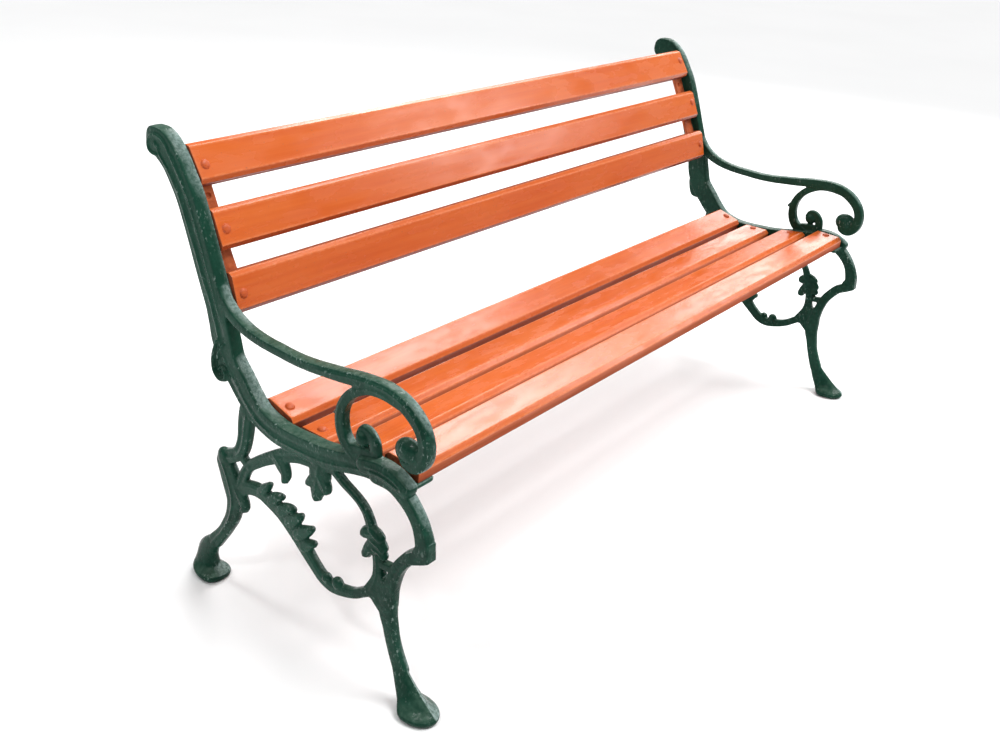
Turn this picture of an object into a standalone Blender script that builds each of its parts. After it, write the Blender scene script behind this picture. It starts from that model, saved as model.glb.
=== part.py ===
"""Garden bench: two cast-iron ends, three back slats and four seat slats, bolted together.

The bench's long axis is X, its front faces -Y and +Z is up. The origin is on the floor, under the
middle of the bench. Tables are in millimetres. A place on an end casting is given as (forward, up):
forward is measured from the back of the top scroll, and up from the floor.
"""

import math

import bmesh
import bpy
from mathutils import Matrix, Vector

MM = 0.001
GAP = 0.3                   # clearance left between pieces that touch

# Driving dimensions, in millimetres
OUTER_SPAN = 1524.0         # between the outer faces of the two castings
FORWARD_MIDDLE = 329.585    # where the middle of the bench falls on the forward scale
POST_DEPTH = 24.0           # thickness of the posts and seat rail along the bench
SLAT_WIDTH = 67.0
SLAT_THICKNESS = 24.0
SLAT_CHAMFER = 7.0
SLAT_END_GAP = 1.5          # between a slat's end and the casting
LUG_THICKNESS = 7.0
BACK_LUG = (6.0, 57.0)      # where the strip behind the back slats starts and ends along the bench
SEAT_LUG = (6.4, 56.5)      # the same for the strip under the seat slats
LUG_MARGIN = 1.0            # how far a lug strip runs past the edges of its first and last slat
BOLT_INSET = 16.0           # from a slat's end to its bolt
BOLT_RADIUS = 3.0
HEAD_RADIUS = 7.5
HEAD_HEIGHT = 3.6
HEAD_RIM = 0.8              # height of the straight rim under the head's dome
WASHER_RADIUS = 8.5
WASHER_THICKNESS = 1.6
NUT_ACROSS_FLATS = 10.0
NUT_HEIGHT = 5.0
BOLT_TAIL = 3.0             # thread left standing past the nut
TAIL_CHAMFER = (0.5, 0.8)   # at the bolt's tip: how far in and how far up
HOLE_CLEARANCE = 0.5        # added to the bolt's radius in wood and in the lugs
OVERRUN = 5.0               # how far a drill starts before its piece and ends past it

# Slats: name, middle of the sitting face (forward, up), its slope in degrees, and how far the left
# and right bolts sit off the slat's middle line
BACK_SLATS = (
    ("back_slat_top", 98.0, 739.0, -57.0, 5.0, -5.0),
    ("back_slat_middle", 146.5, 645.0, -66.5, 2.0, -5.0),
    ("back_slat_bottom", 184.5, 550.0, -75.0, 3.0, -2.0),
)
SEAT_SLATS = (
    ("seat_slat_rear", 286.5, 389.5, -16.5, 5.0, 0.0),
    ("seat_slat_second", 364.5, 378.0, 0.5, 1.0, -2.0),
    ("seat_slat_third", 457.0, 393.5, 8.0, 0.0, 1.0),
    ("seat_slat_front", 547.0, 410.5, -2.0, 0.0, 0.0),
)
SPARE_HOLE = (102.2, 684.6)  # the unused blind hole in each back lug's face, under the top slat
SPARE_SHIFT = 2.5           # how much further in along the bench it lies than the bolts
SPARE_RADIUS = 4.5
SPARE_DEPTH = 4.5

# Ribs of a casting: name, (outer face, inner face) along the bench, and (forward, up, width) points
RIBS = (
    ("post_and_rail", (0.0, 24.0), (
        (27, 762, 46), (45, 758, 50), (66, 741, 48), (84, 716, 46), (100, 690, 46), (113, 660, 46),
        (126, 627, 46), (139, 592, 46), (152, 558, 46), (163, 530, 46), (170, 503, 46),
        (177, 474, 50), (189, 444, 44), (213, 416, 44), (236, 391, 42), (262, 371, 39),
        (300, 360, 37), (335, 359, 35), (370, 361, 35), (405, 364, 35), (440, 371, 34),
        (475, 380, 32), (505, 385, 30), (538, 382, 25))),
    ("arm_and_front_ring", (0.7, 20.0), (
        (168, 556, 30), (188, 533, 24), (212, 518, 18), (240, 511, 16), (270, 505, 15),
        (305, 502, 15), (345, 501, 15), (380, 503, 16), (412, 507, 17), (442, 511, 18),
        (472, 516, 19), (502, 519, 20), (530, 520, 20), (556, 515, 20), (578, 504, 20),
        (596, 487, 19), (605, 466, 19), (604, 446, 18), (595, 430, 17), (581, 424, 14))),
    ("rear_ring", (1.3, 16.0), (
        (470, 511, 14), (453, 494, 15), (442, 475, 15), (438, 455, 16), (440, 434, 16),
        (449, 414, 17), (464, 399, 18), (485, 392, 18))),
    ("rear_scroll_neck", (1.9, 17.0), ((512, 390, 18), (509, 410, 15), (503, 426, 14))),
    ("front_lobe", (-7.0, 16.0), (
        (496, 391, 22), (527, 396, 22), (552, 393, 20), (571, 388, 16), (582, 384, 12))),
    ("front_band", (-6.0, 14.5), (
        (520, 384, 24), (552, 384, 24), (576, 372, 22), (593, 357, 20), (605, 341, 20),
        (612, 325, 22), (616, 310, 24), (616, 297, 25))),
    ("knee_bracket", (1.0, 16.8), (
        (611, 287, 18), (592, 277, 20), (577, 260, 20), (566, 243, 20), (558, 221, 20),
        (552, 196, 22), (548, 170, 28))),
    ("front_leg", (0.2, 15.2), (
        (548, 176, 30), (548, 152, 30), (554, 128, 25), (560, 105, 23), (568, 84, 24),
        (578, 62, 26))),
    ("stem", (1.5, 13.0), (
        (425, 352, 14), (450, 337, 13), (468, 329, 12), (484, 321, 12), (497, 310, 13),
        (505, 297, 14), (511, 282, 16), (517, 266, 18), (523, 248, 18), (527, 228, 18),
        (528, 207, 24), (521, 187, 24), (512, 171, 20))),
    ("loop_and_diagonal", (1.1, 13.6), (
        (528, 184, 20), (515, 175, 18), (501, 165, 16), (479, 150, 16), (455, 141, 18),
        (428, 136, 20), (406, 142, 21), (387, 156, 21), (370, 172, 26), (353, 190, 31),
        (333, 206, 32), (310, 220, 31), (285, 229, 29), (262, 234, 26), (240, 230, 24),
        (220, 221, 26), (203, 205, 26))),
    ("rear_leg", (-0.3, 14.4), (
        (170, 250, 36), (181, 228, 42), (189, 206, 42), (193, 184, 36), (189, 162, 30),
        (182, 143, 27), (173, 127, 25), (162, 109, 24), (150, 93, 25), (136, 76, 28))),
    ("lower_post", (0.6, 15.6), (
        (230, 368, 30), (225, 340, 29), (222, 318, 26), (216, 297, 25), (206, 281, 24),
        (190, 270, 24), (173, 262, 24))),
    ("arch", (1.7, 12.5), (
        (203, 200, 22), (213, 230, 20), (222, 252, 18), (234, 269, 18), (251, 283, 19),
        (272, 298, 20), (294, 312, 22), (320, 327, 24), (350, 340, 26), (390, 346, 24),
        (425, 350, 16))),
)

# Leaves and thorns: (outer face, inner face), then a short rib that tapers to the leaf's tip
LEAVES = (
    ((-0.8, 12.0), ((164, 458, 10), (171, 434, 24), (171, 415, 22))),
    ((2.1, 11.0), ((303, 318, 22), (315, 298, 18), (316, 284, 12))),
    ((2.3, 11.4), ((396, 345, 30), (394, 316, 26), (391, 290, 14))),
    ((2.7, 10.6), ((390, 324, 16), (373, 304, 8))),
    ((2.9, 10.4), ((402, 326, 18), (412, 314, 15))),
    ((2.2, 11.2), ((210, 204, 26), (218, 190, 20), (212, 176, 14))),
    ((3.0, 10.0), ((283, 238, 18), (285, 255, 8))),
    ((3.2, 10.8), ((308, 228, 20), (322, 238, 10))),
    ((3.1, 10.9), ((336, 212, 22), (353, 229, 9))),
    ((3.3, 10.2), ((356, 196, 24), (380, 217, 8))),
    ((3.5, 10.7), ((364, 184, 20), (380, 194, 13))),
    ((2.0, 12.2), ((514, 277, 14), (498, 272, 12))),
    ((2.4, 11.8), ((516, 260, 14), (502, 238, 11))),
    ((2.6, 11.6), ((513, 279, 14), (526, 277, 13))),
    ((2.8, 12.4), ((522, 262, 14), (536, 260, 12))),
)

# Round bosses: (outer face, inner face), middle (forward, up) and radius
BOSSES = (
    ((-2.0, 19.0), (494, 430), 18.5),
    ((-2.2, 19.6), (574, 440), 19.0),
    ((-1.0, 16.4), (172, 258), 20.0),
    ((-0.5, 12.8), (437, 154), 12.0),
    ((-0.4, 12.9), (416, 149), 11.0),
)

# Feet: up, middle and half length forward, middle and half width along the bench
FRONT_FOOT = (
    (0, 624.0, 29.0, 5.0, 26.0), (5, 623.5, 31.5, 5.0, 30.0), (14, 621.0, 32.5, 5.0, 30.0),
    (27, 607.0, 32.0, 5.0, 21.0), (44, 592.0, 25.0, 6.0, 13.0), (68, 574.0, 14.0, 7.7, 6.8))
REAR_FOOT = (
    (0, 122.0, 30.0, 5.0, 25.0), (5, 121.0, 33.0, 4.0, 28.0), (16, 118.0, 35.0, 3.0, 28.0),
    (34, 114.0, 31.0, 5.0, 19.0), (54, 117.0, 24.0, 6.5, 11.0), (78, 132.0, 16.0, 7.0, 6.6))

RIB_STEPS = 2               # stations on each stretch between two rib points
END_STEPS = 4               # segments round a rib's end
BOSS_SEGMENTS = 18
FOOT_SEGMENTS = 16
HOLE_SEGMENTS = 12
SHAFT_SEGMENTS = 12
HEAD_SEGMENTS = 16
HEAD_RINGS = 3
FOOT_SQUARENESS = 0.8       # 1 makes a foot's sections ellipses, and less makes them squarer
SHARP_ANGLE = 35.0          # degrees: edges sharper than this stay crisp on turned pieces
MERGE = 0.00001             # metres: points nearer than this become one
SLIT_SIDES = 4              # a gap of up to this many edges is closed after a join


def clear_scene():
    for obj in list(bpy.data.objects):
        bpy.data.objects.remove(obj, do_unlink=True)


def collection(name):
    made = bpy.data.collections.new(name)
    bpy.context.scene.collection.children.link(made)
    return made


def material(name, colour, roughness, metallic):
    made = bpy.data.materials.new(name)
    made.use_nodes = True
    shader = made.node_tree.nodes["Principled BSDF"]
    shader.inputs["Base Color"].default_value = (*colour, 1.0)
    shader.inputs["Roughness"].default_value = roughness
    shader.inputs["Metallic"].default_value = metallic
    return made


def new_object(name, mesh, group):
    obj = bpy.data.objects.new(name, mesh)
    group.objects.link(obj)
    return obj


def mesh_of(name, bm):
    bmesh.ops.recalc_face_normals(bm, faces=bm.faces)
    mesh = bpy.data.meshes.new(name)
    bm.to_mesh(mesh)
    bm.free()
    return mesh


def rib_path(points):
    """A smooth path through the rib's points, as (forward, up, width) at each station."""
    ends = [points[0], *points, points[-1]]
    path = []
    for a, b, c, d in zip(ends, ends[1:], ends[2:], ends[3:]):
        for step in range(RIB_STEPS):
            t = step / RIB_STEPS
            path.append([
                b[k]
                + 0.5 * t * (c[k] - a[k])
                + t * t * (a[k] - 2.5 * b[k] + 2 * c[k] - 0.5 * d[k])
                + t * t * t * (1.5 * (b[k] - c[k]) + 0.5 * (d[k] - a[k]))
                for k in range(3)])
    path.append(list(points[-1]))
    return path


def rib_outline(points):
    """The rib's outline as seen from the side, with round ends."""
    path = rib_path(points)
    left, right, headings = [], [], []
    for i, (forward, up, width) in enumerate(path):
        before = path[max(i - 1, 0)]
        after = path[min(i + 1, len(path) - 1)]
        heading = math.atan2(after[1] - before[1], after[0] - before[0])
        headings.append(heading)
        across = Vector((-math.sin(heading), math.cos(heading))) * width / 2
        left.append(Vector((forward, up)) + across)
        right.append(Vector((forward, up)) - across)

    def round_end(station, start_angle):
        forward, up, width = path[station]
        turns = [start_angle - math.pi * k / END_STEPS for k in range(1, END_STEPS)]
        return [Vector((forward, up)) + Vector((math.cos(a), math.sin(a))) * width / 2 for a in turns]

    far_cap = round_end(-1, headings[-1] + math.pi / 2)
    near_cap = round_end(0, headings[0] - math.pi / 2)
    return left + far_cap + right[::-1] + near_cap


def applied(obj):
    """The object's evaluated mesh, welded. The object itself is removed."""
    bpy.context.view_layer.update()
    mesh = bpy.data.meshes.new_from_object(obj.evaluated_get(bpy.context.evaluated_depsgraph_get()))
    bpy.data.objects.remove(obj, do_unlink=True)
    bm = bmesh.new()
    bm.from_mesh(mesh)
    bmesh.ops.remove_doubles(bm, verts=bm.verts, dist=MERGE)
    bmesh.ops.recalc_face_normals(bm, faces=bm.faces)
    bm.to_mesh(mesh)
    bm.free()
    return mesh


def plate(name, outline, faces, group):
    """A flat plate with this outline, from the outer to the inner face, stood up across the bench."""
    curve = bpy.data.curves.new(name, "CURVE")
    curve.dimensions = "2D"
    curve.fill_mode = "BOTH"
    curve.extrude = (faces[1] - faces[0]) / 2 * MM
    spline = curve.splines.new("POLY")
    spline.points.add(len(outline) - 1)
    spline.use_cyclic_u = True
    for point, (forward, up) in zip(spline.points, outline):
        point.co = (forward * MM, up * MM, 0.0, 1.0)
    guide = bpy.data.objects.new(name, curve)
    group.objects.link(guide)
    obj = new_object(name, applied(guide), group)
    obj.location = ((faces[0] + faces[1]) / 2 * MM, FORWARD_MIDDLE * MM, 0.0)
    obj.rotation_euler = (math.pi / 2, 0.0, -math.pi / 2)
    return obj


def cylinder(name, radius, start, end, segments, group):
    """A closed cylinder between two points, in metres."""
    axis = end - start
    bm = bmesh.new()
    bmesh.ops.create_cone(
        bm, cap_ends=True, segments=segments, radius1=radius * MM, radius2=radius * MM,
        depth=axis.length)
    obj = new_object(name, mesh_of(name, bm), group)
    obj.location = (start + end) / 2
    obj.rotation_euler = Vector((0.0, 0.0, 1.0)).rotation_difference(axis).to_euler()
    return obj


def foot(name, sections, group):
    """A foot lofted through rounded sections, flat underneath."""
    bm = bmesh.new()
    rings = []
    for up, middle, half_length, centre, half_width in sections:
        ring = []
        for k in range(FOOT_SEGMENTS):
            angle = 2 * math.pi * k / FOOT_SEGMENTS
            c, s = math.cos(angle), math.sin(angle)
            across = math.copysign(abs(c) ** FOOT_SQUARENESS, c) * half_width
            along = math.copysign(abs(s) ** FOOT_SQUARENESS, s) * half_length
            place = ((centre + across) * MM, (FORWARD_MIDDLE - middle - along) * MM, up * MM)
            ring.append(bm.verts.new(place))
        rings.append(ring)
    for low, high in zip(rings, rings[1:]):
        for k in range(FOOT_SEGMENTS):
            n = (k + 1) % FOOT_SEGMENTS
            bm.faces.new((low[k], low[n], high[n], high[k]))
    bm.faces.new(rings[0][::-1])
    bm.faces.new(rings[-1])
    return new_object(name, mesh_of(name, bm), group)


def boolean(target, others, operation):
    """Joins the others to the target, or cuts them from it, one after another."""
    for other in others:
        step = target.modifiers.new(other.name, "BOOLEAN")
        step.operation = operation
        step.solver = "EXACT"
        step.object = other
        bpy.context.view_layer.update()
        graph = bpy.context.evaluated_depsgraph_get()
        mesh = bpy.data.meshes.new_from_object(target.evaluated_get(graph))
        target.modifiers.clear()
        bm = bmesh.new()
        bm.from_mesh(mesh)
        bmesh.ops.remove_doubles(bm, verts=bm.verts, dist=MERGE)
        bmesh.ops.dissolve_degenerate(bm, edges=bm.edges, dist=MERGE)
        slits = [edge for edge in bm.edges if edge.is_boundary]
        bmesh.ops.holes_fill(bm, edges=slits, sides=SLIT_SIDES)
        bm.to_mesh(mesh)
        bm.free()
        old = target.data
        target.data = mesh
        mesh.name = target.name
        bpy.data.meshes.remove(old)
        bpy.data.objects.remove(other, do_unlink=True)


def slat_frame(forward, up, slope):
    """Unit vectors along and square to a slat's sitting face, as (forward, up)."""
    angle = math.radians(slope)
    along = Vector((math.cos(angle), math.sin(angle)))
    out = Vector((-along.y, along.x))
    return Vector((forward, up)), along, out


def world(x, place):
    """A point x millimetres along the bench, at a (forward, up) place, in metres."""
    return Vector((x * MM, (FORWARD_MIDDLE - place[0]) * MM, place[1] * MM))


def lug_outline(slats):
    """A strip that lies flat behind each slat and bends between them."""
    half = SLAT_WIDTH / 2 + LUG_MARGIN
    near, far = [], []
    for _, forward, up, slope, *_ in slats:
        middle, along, out = slat_frame(forward, up, slope)
        for side in (-half, half):
            place = middle + along * side - out * (SLAT_THICKNESS + GAP)
            near.append(place)
            far.append(place - out * LUG_THICKNESS)
    return near + far[::-1]


def casting_shape(cutters):
    """An end casting without its holes, as a mesh with its outer face at x = 0."""
    parts = []
    for name, faces, points in RIBS:
        parts.append(plate(name, rib_outline(points), faces, cutters))
    for number, (faces, points) in enumerate(LEAVES):
        parts.append(plate(f"leaf_{number}", rib_outline(points), faces, cutters))
    for number, (faces, middle, radius) in enumerate(BOSSES):
        parts.append(cylinder(
            f"boss_{number}", radius, world(faces[0], middle), world(faces[1], middle),
            BOSS_SEGMENTS, cutters))
    parts.append(foot("front_foot", FRONT_FOOT, cutters))
    parts.append(foot("rear_foot", REAR_FOOT, cutters))
    parts.append(plate("back_lug", lug_outline(BACK_SLATS), BACK_LUG, cutters))
    parts.append(plate("seat_lug", lug_outline(SEAT_SLATS), SEAT_LUG, cutters))
    whole = parts[0]
    boolean(whole, parts[1:], "UNION")
    stand = whole.matrix_world.copy()
    mesh = applied(whole)
    mesh.transform(stand)
    return mesh


def casting(side, shape, cutters, finish, group):
    """One cast-iron end, with its bolt holes. The right one is the left one's mirror image."""
    mesh = shape.copy()
    if side > 0:
        mesh.transform(Matrix.Scale(-1.0, 4, Vector((1.0, 0.0, 0.0))))
        mesh.flip_normals()
    name = "end_casting_right" if side > 0 else "end_casting_left"
    end = new_object(name, mesh, group)
    end.location.x = side * OUTER_SPAN / 2 * MM

    bolt_x = side * (OUTER_SPAN / 2 - POST_DEPTH - SLAT_END_GAP - BOLT_INSET)
    holes = []
    for slat_name, forward, up, slope, *shifts in BACK_SLATS + SEAT_SLATS:
        middle, along, out = slat_frame(forward, up, slope)
        middle += along * shifts[1 if side > 0 else 0]
        holes.append(cylinder(
            f"{slat_name}_lug_hole", BOLT_RADIUS + HOLE_CLEARANCE,
            world(bolt_x, middle - out * (SLAT_THICKNESS - OVERRUN)),
            world(bolt_x, middle - out * (SLAT_THICKNESS + LUG_THICKNESS + OVERRUN)),
            HOLE_SEGMENTS, cutters))
    _, _, out = slat_frame(*BACK_SLATS[0][1:4])
    spare = Vector(SPARE_HOLE)
    spare_x = bolt_x - side * SPARE_SHIFT
    holes.append(cylinder(
        "spare_hole", SPARE_RADIUS, world(spare_x, spare + out * OVERRUN),
        world(spare_x, spare - out * SPARE_DEPTH), HOLE_SEGMENTS, cutters))
    boolean(end, holes, "DIFFERENCE")
    end.data.materials.clear()
    end.data.materials.append(finish)
    return end


def slat(name, forward, up, slope, shifts, cutters, finish, group):
    """A wooden slat with its upper edges and ends chamfered, drilled for its two bolts. Its own X runs
    along it, and its own Z stands out of the middle of its sitting face."""
    middle, along, out = slat_frame(forward, up, slope)
    length = OUTER_SPAN - 2 * (POST_DEPTH + SLAT_END_GAP)
    bm = bmesh.new()
    bmesh.ops.create_cube(bm, size=1.0)
    bmesh.ops.scale(bm, vec=Vector((length, SLAT_WIDTH, SLAT_THICKNESS)) * MM, verts=bm.verts)
    bmesh.ops.translate(bm, vec=Vector((0.0, 0.0, -SLAT_THICKNESS / 2 * MM)), verts=bm.verts)
    top_edges = [edge for edge in bm.edges if all(abs(vert.co.z) < MERGE for vert in edge.verts)]
    bmesh.ops.bevel(
        bm, geom=top_edges, offset=SLAT_CHAMFER * MM, segments=1, affect="EDGES", clamp_overlap=True)
    obj = new_object(name, mesh_of(name, bm), group)
    obj.location = world(0.0, middle)
    obj.rotation_euler.x = -math.radians(slope)
    holes = []
    for side, shift in zip((-1, 1), shifts):
        x = side * (length / 2 - BOLT_INSET)
        start = middle + along * shift
        holes.append(cylinder(
            f"{name}_hole_{side}", BOLT_RADIUS + HOLE_CLEARANCE, world(x, start + out * OVERRUN),
            world(x, start - out * (SLAT_THICKNESS + OVERRUN)), HOLE_SEGMENTS, cutters))
    boolean(obj, holes, "DIFFERENCE")
    obj.data.materials.clear()
    obj.data.materials.append(finish)
    return obj


def turned(name, profile, segments, closed, group):
    """A mesh turned about Z from (radius, height) points, which run down its outer side."""
    edges = [(k, k + 1) for k in range(len(profile) - 1)]
    if closed:
        edges.append((len(profile) - 1, 0))
    mesh = bpy.data.meshes.new(f"{name}_profile")
    mesh.from_pydata([(radius * MM, 0.0, height * MM) for radius, height in profile], edges, [])
    guide = new_object(name, mesh, group)
    turn = guide.modifiers.new("turn", "SCREW")
    turn.axis = "Z"
    turn.steps = segments
    turn.render_steps = segments
    turn.use_merge_vertices = True
    turn.merge_threshold = MERGE
    return applied(guide)


def bolt_mesh(group):
    """A domed bolt on its shank. Its own origin is where it enters the slat's sitting face."""
    grip = SLAT_THICKNESS + LUG_THICKNESS + WASHER_THICKNESS + NUT_HEIGHT + 3 * GAP
    tip = -(grip + BOLT_TAIL)
    rim = GAP + HEAD_RIM
    profile = []
    for k in range(HEAD_RINGS, -1, -1):
        angle = math.pi / 2 * k / HEAD_RINGS
        radius = HEAD_RADIUS * math.cos(angle) if k < HEAD_RINGS else 0.0
        profile.append((radius, rim + (HEAD_HEIGHT - HEAD_RIM) * math.sin(angle)))
    profile += [(HEAD_RADIUS, GAP), (BOLT_RADIUS, GAP), (BOLT_RADIUS, tip + TAIL_CHAMFER[1])]
    profile += [(BOLT_RADIUS - TAIL_CHAMFER[0], tip), (0.0, tip)]
    return turned("bolt", profile, HEAD_SEGMENTS, False, group)


def washer_mesh(group):
    """A flat washer, with the middle of its upper face at its origin."""
    inner = BOLT_RADIUS + HOLE_CLEARANCE
    bottom = -WASHER_THICKNESS
    profile = ((WASHER_RADIUS, 0.0), (WASHER_RADIUS, bottom), (inner, bottom), (inner, 0.0))
    return turned("washer", profile, HEAD_SEGMENTS, True, group)


def nut_mesh(group):
    """A hexagonal nut with a plain bore, with the middle of its upper face at its origin."""
    corner_radius = NUT_ACROSS_FLATS / math.sqrt(3)
    bottom = Vector((0.0, 0.0, -NUT_HEIGHT * MM))
    spare_length = Vector((0.0, 0.0, OVERRUN * MM))
    nut = cylinder("nut", corner_radius, bottom, Vector(), 6, group)
    bore = cylinder("nut_bore", BOLT_RADIUS + GAP, bottom - spare_length, spare_length, SHAFT_SEGMENTS, group)
    boolean(nut, [bore], "DIFFERENCE")
    middle = nut.location.copy()
    mesh = applied(nut)
    mesh.transform(Matrix.Translation(middle))
    return mesh


def fastener_meshes(finishes, cutters):
    """One mesh each for the bolts, the washers and the nuts, with smooth round faces."""
    meshes = {"bolt": bolt_mesh(cutters), "washer": washer_mesh(cutters), "nut": nut_mesh(cutters)}
    for kind, mesh in meshes.items():
        mesh.name = kind
        mesh.shade_smooth()
        mesh.set_sharp_from_angle(angle=math.radians(SHARP_ANGLE))
        mesh.materials.clear()
        mesh.materials.append(finishes[kind])
    return meshes


def fastener(slat_name, forward, up, slope, shift, side, meshes, group):
    """The bolt, washer and nut at one end of a slat."""
    middle, along, out = slat_frame(forward, up, slope)
    middle += along * shift
    x = side * (OUTER_SPAN / 2 - POST_DEPTH - SLAT_END_GAP - BOLT_INSET)
    washer_depth = SLAT_THICKNESS + LUG_THICKNESS + 2 * GAP
    depths = {"bolt": 0.0, "washer": washer_depth, "nut": washer_depth + WASHER_THICKNESS + GAP}
    end = "right" if side > 0 else "left"
    for kind, depth in depths.items():
        obj = new_object(f"{kind}_{slat_name}_{end}", meshes[kind], group)
        obj.location = world(x, middle - out * depth)
        obj.rotation_euler.x = -math.radians(slope)


def main():
    clear_scene()
    bench = collection("garden_bench")
    cutters = collection("cutters")
    zinc = material("dull_zinc", (0.42, 0.42, 0.41), 0.5, 1.0)
    green = material("green_enamelled_iron", (0.035, 0.085, 0.055), 0.3, 0.0)
    orange = material("terracotta_painted_wood", (0.62, 0.19, 0.06), 0.42, 0.0)
    terracotta = material("terracotta_painted_steel", (0.6, 0.18, 0.055), 0.38, 0.0)
    meshes = fastener_meshes({"bolt": terracotta, "washer": zinc, "nut": zinc}, cutters)
    shape = casting_shape(cutters)
    for side in (-1, 1):
        casting(side, shape, cutters, green, bench)
    for name, forward, up, slope, *shifts in BACK_SLATS + SEAT_SLATS:
        slat(name, forward, up, slope, shifts, cutters, orange, bench)
        for side, shift in zip((-1, 1), shifts):
            fastener(name, forward, up, slope, shift, side, meshes, bench)

    ground = bpy.data.objects.new("bench_on_ground", None)
    pieces = list(bench.objects)
    bench.objects.link(ground)
    for piece in pieces:
        piece.parent = ground


main()
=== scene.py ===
"""Looks of the garden bench: enamelled iron ends, painted slats and bolts, on a pale floor.

Tables are in millimetres. A place on an end casting is (forward, up): forward is measured from the
back of the top scroll, and up from the floor. Distances along the bench on a casting are measured
inwards from its outer face. The left casting is made first, and the right one is its mirror image.
"""

import math
import random

import bmesh
import bpy
import numpy as np
from mathutils import Matrix, Vector


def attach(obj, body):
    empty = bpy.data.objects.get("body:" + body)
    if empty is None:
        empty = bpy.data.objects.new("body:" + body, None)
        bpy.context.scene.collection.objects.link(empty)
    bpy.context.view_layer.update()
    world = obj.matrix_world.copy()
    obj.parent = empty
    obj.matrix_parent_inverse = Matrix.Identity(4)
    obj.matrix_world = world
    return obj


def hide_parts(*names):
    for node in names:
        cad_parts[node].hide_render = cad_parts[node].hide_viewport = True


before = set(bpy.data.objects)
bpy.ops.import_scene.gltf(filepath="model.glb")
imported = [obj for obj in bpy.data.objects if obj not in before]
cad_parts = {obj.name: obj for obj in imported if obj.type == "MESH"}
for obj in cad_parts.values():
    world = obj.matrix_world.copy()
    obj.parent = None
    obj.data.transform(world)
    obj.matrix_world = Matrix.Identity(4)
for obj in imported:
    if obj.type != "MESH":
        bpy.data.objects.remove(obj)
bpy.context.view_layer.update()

MM = 0.001
FORWARD_MIDDLE = 329.585    # the forward distance that is at y = 0
HALF_SPAN = 762.0           # from the middle of the bench to a casting's outer face
SLAT_WIDTH = 67.0
SLAT_THICKNESS = 24.0
SLAT_CHAMFER = 7.0
EDGE_RADII = (1.2, 1.2, 1.0, 1.1, 1.1, 1.0)     # a slat's two back edges, then its chamfers' edges
SLAT_HALF_LENGTH = 736.5
SLAT_STATIONS = 24          # slightly uneven cross-sections along a slat
END_EASE = 1.6              # how far the edges of a slat's ends are worn off
END_RUN = 3.0               # from the chamfer's length at a slat's end to its first uneven section
SIDE_SHADE_DEPTH = 6.0            # painted shade: a slat's sides darken over this depth below its chamfers
NEAR_SIDE = 1.0             # vertices this near to a slat's long sides count as on them
NEAR_END = 0.5              # and those this near to its ends as on those
LUG_START = 8.0             # where a lug starts inside its casting, from the casting's outer face
LUG_REACH = 57.0
LUG_THICKNESS = 7.0
LUG_GAP = 0.3               # between a slat and its lug
BOLT_INSET = 16.0           # from a slat's end to its bolt
WASHER_THICKNESS = 1.6
NUT_HEIGHT = 5.0
FASTENER_GAPS = 0.9         # slat to lug, lug to washer and washer to nut, together
BOLT_OVERRUN = 3.0          # what shows of a bolt beyond its nut
SHANK_RADIUS = 2.9
THREAD_CREST = 2.95
THREAD_ROOT = 2.55
THREAD_PITCH = 0.7
THREAD_TURNS = 12
COLLAR = ((8.4, -0.2), (8.3, 0.15), (7.7, 0.45), (7.4, 0.9))    # (radius, height) of the paint round a head
DOME_RADIUS = 7.3
DOME_BASE = 0.9             # height of the dome's widest section above the slat
DOME_RISE = 2.9
SPARE_HOLE = (44.0, 110.2, 689.8)   # along the bench, forward, up: in the back lug, under the top slat
SPARE_RADIUS = 5.0
SPARE_CUT = (4.0, -13.0)    # where the spare hole starts and ends, along the top slat's outward normal
VOXEL = 1.35
SWELL = 0.7                 # added to each side of a rib, for what the softening takes off
SOFTENING = 2               # rounds of smoothing on a casting
MOST_FACES = 186000
CAP_ANGLES = (88, 70, 52, 35, 18)   # stations on a rib's round end, in degrees from its widest section
CAP_DEPTH = 0.35            # the part of a rib's depth that is left at the tip of its round end
SLAB_EDGE = ((0.0, 1.6), (0.5, 0.5), (1.8, 0.0))    # (depth below a plate's face, how far it comes in)
FOOT_TAPER = 0.22           # a foot is this part narrower than its middle at its toe, and wider at its heel
FOOT_SQUARENESS = 0.85      # 1 makes a foot's sections elliptical, and less makes them squarer
RIDGE_HEIGHT = 3.2          # the ridge down to a foot's toe
RIDGE_WIDTH = 0.16          # in radians round the foot
RIDGE_GROWTH = 20.0         # the ridge reaches its full height this far above the floor
RIDGE_TOP = 70.0            # and is gone by here
RIDGE_DECAY = 15.0          # after shrinking over this distance
RELIEF_FADE = 0.04          # the part of a rib's length over which a moulding dies out

# Slats: name, middle of the sitting face (forward, up), its slope in degrees, and how far the left
# and the right bolt sit off the slat's middle line
BACK_SLATS = (
    ("back_slat_top", 98.0, 739.0, -57.0, 5.0, -5.0),
    ("back_slat_middle", 146.5, 645.0, -66.5, 2.0, -5.0),
    ("back_slat_bottom", 184.5, 550.0, -75.0, 3.0, -2.0),
)
SEAT_SLATS = (
    ("seat_slat_rear", 286.5, 389.5, -16.5, 5.0, 0.0),
    ("seat_slat_second", 364.5, 378.0, 0.5, 1.0, -2.0),
    ("seat_slat_third", 457.0, 393.5, 8.0, 0.0, 1.0),
    ("seat_slat_front", 547.0, 410.5, -2.0, 0.0, 0.0),
)

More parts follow.
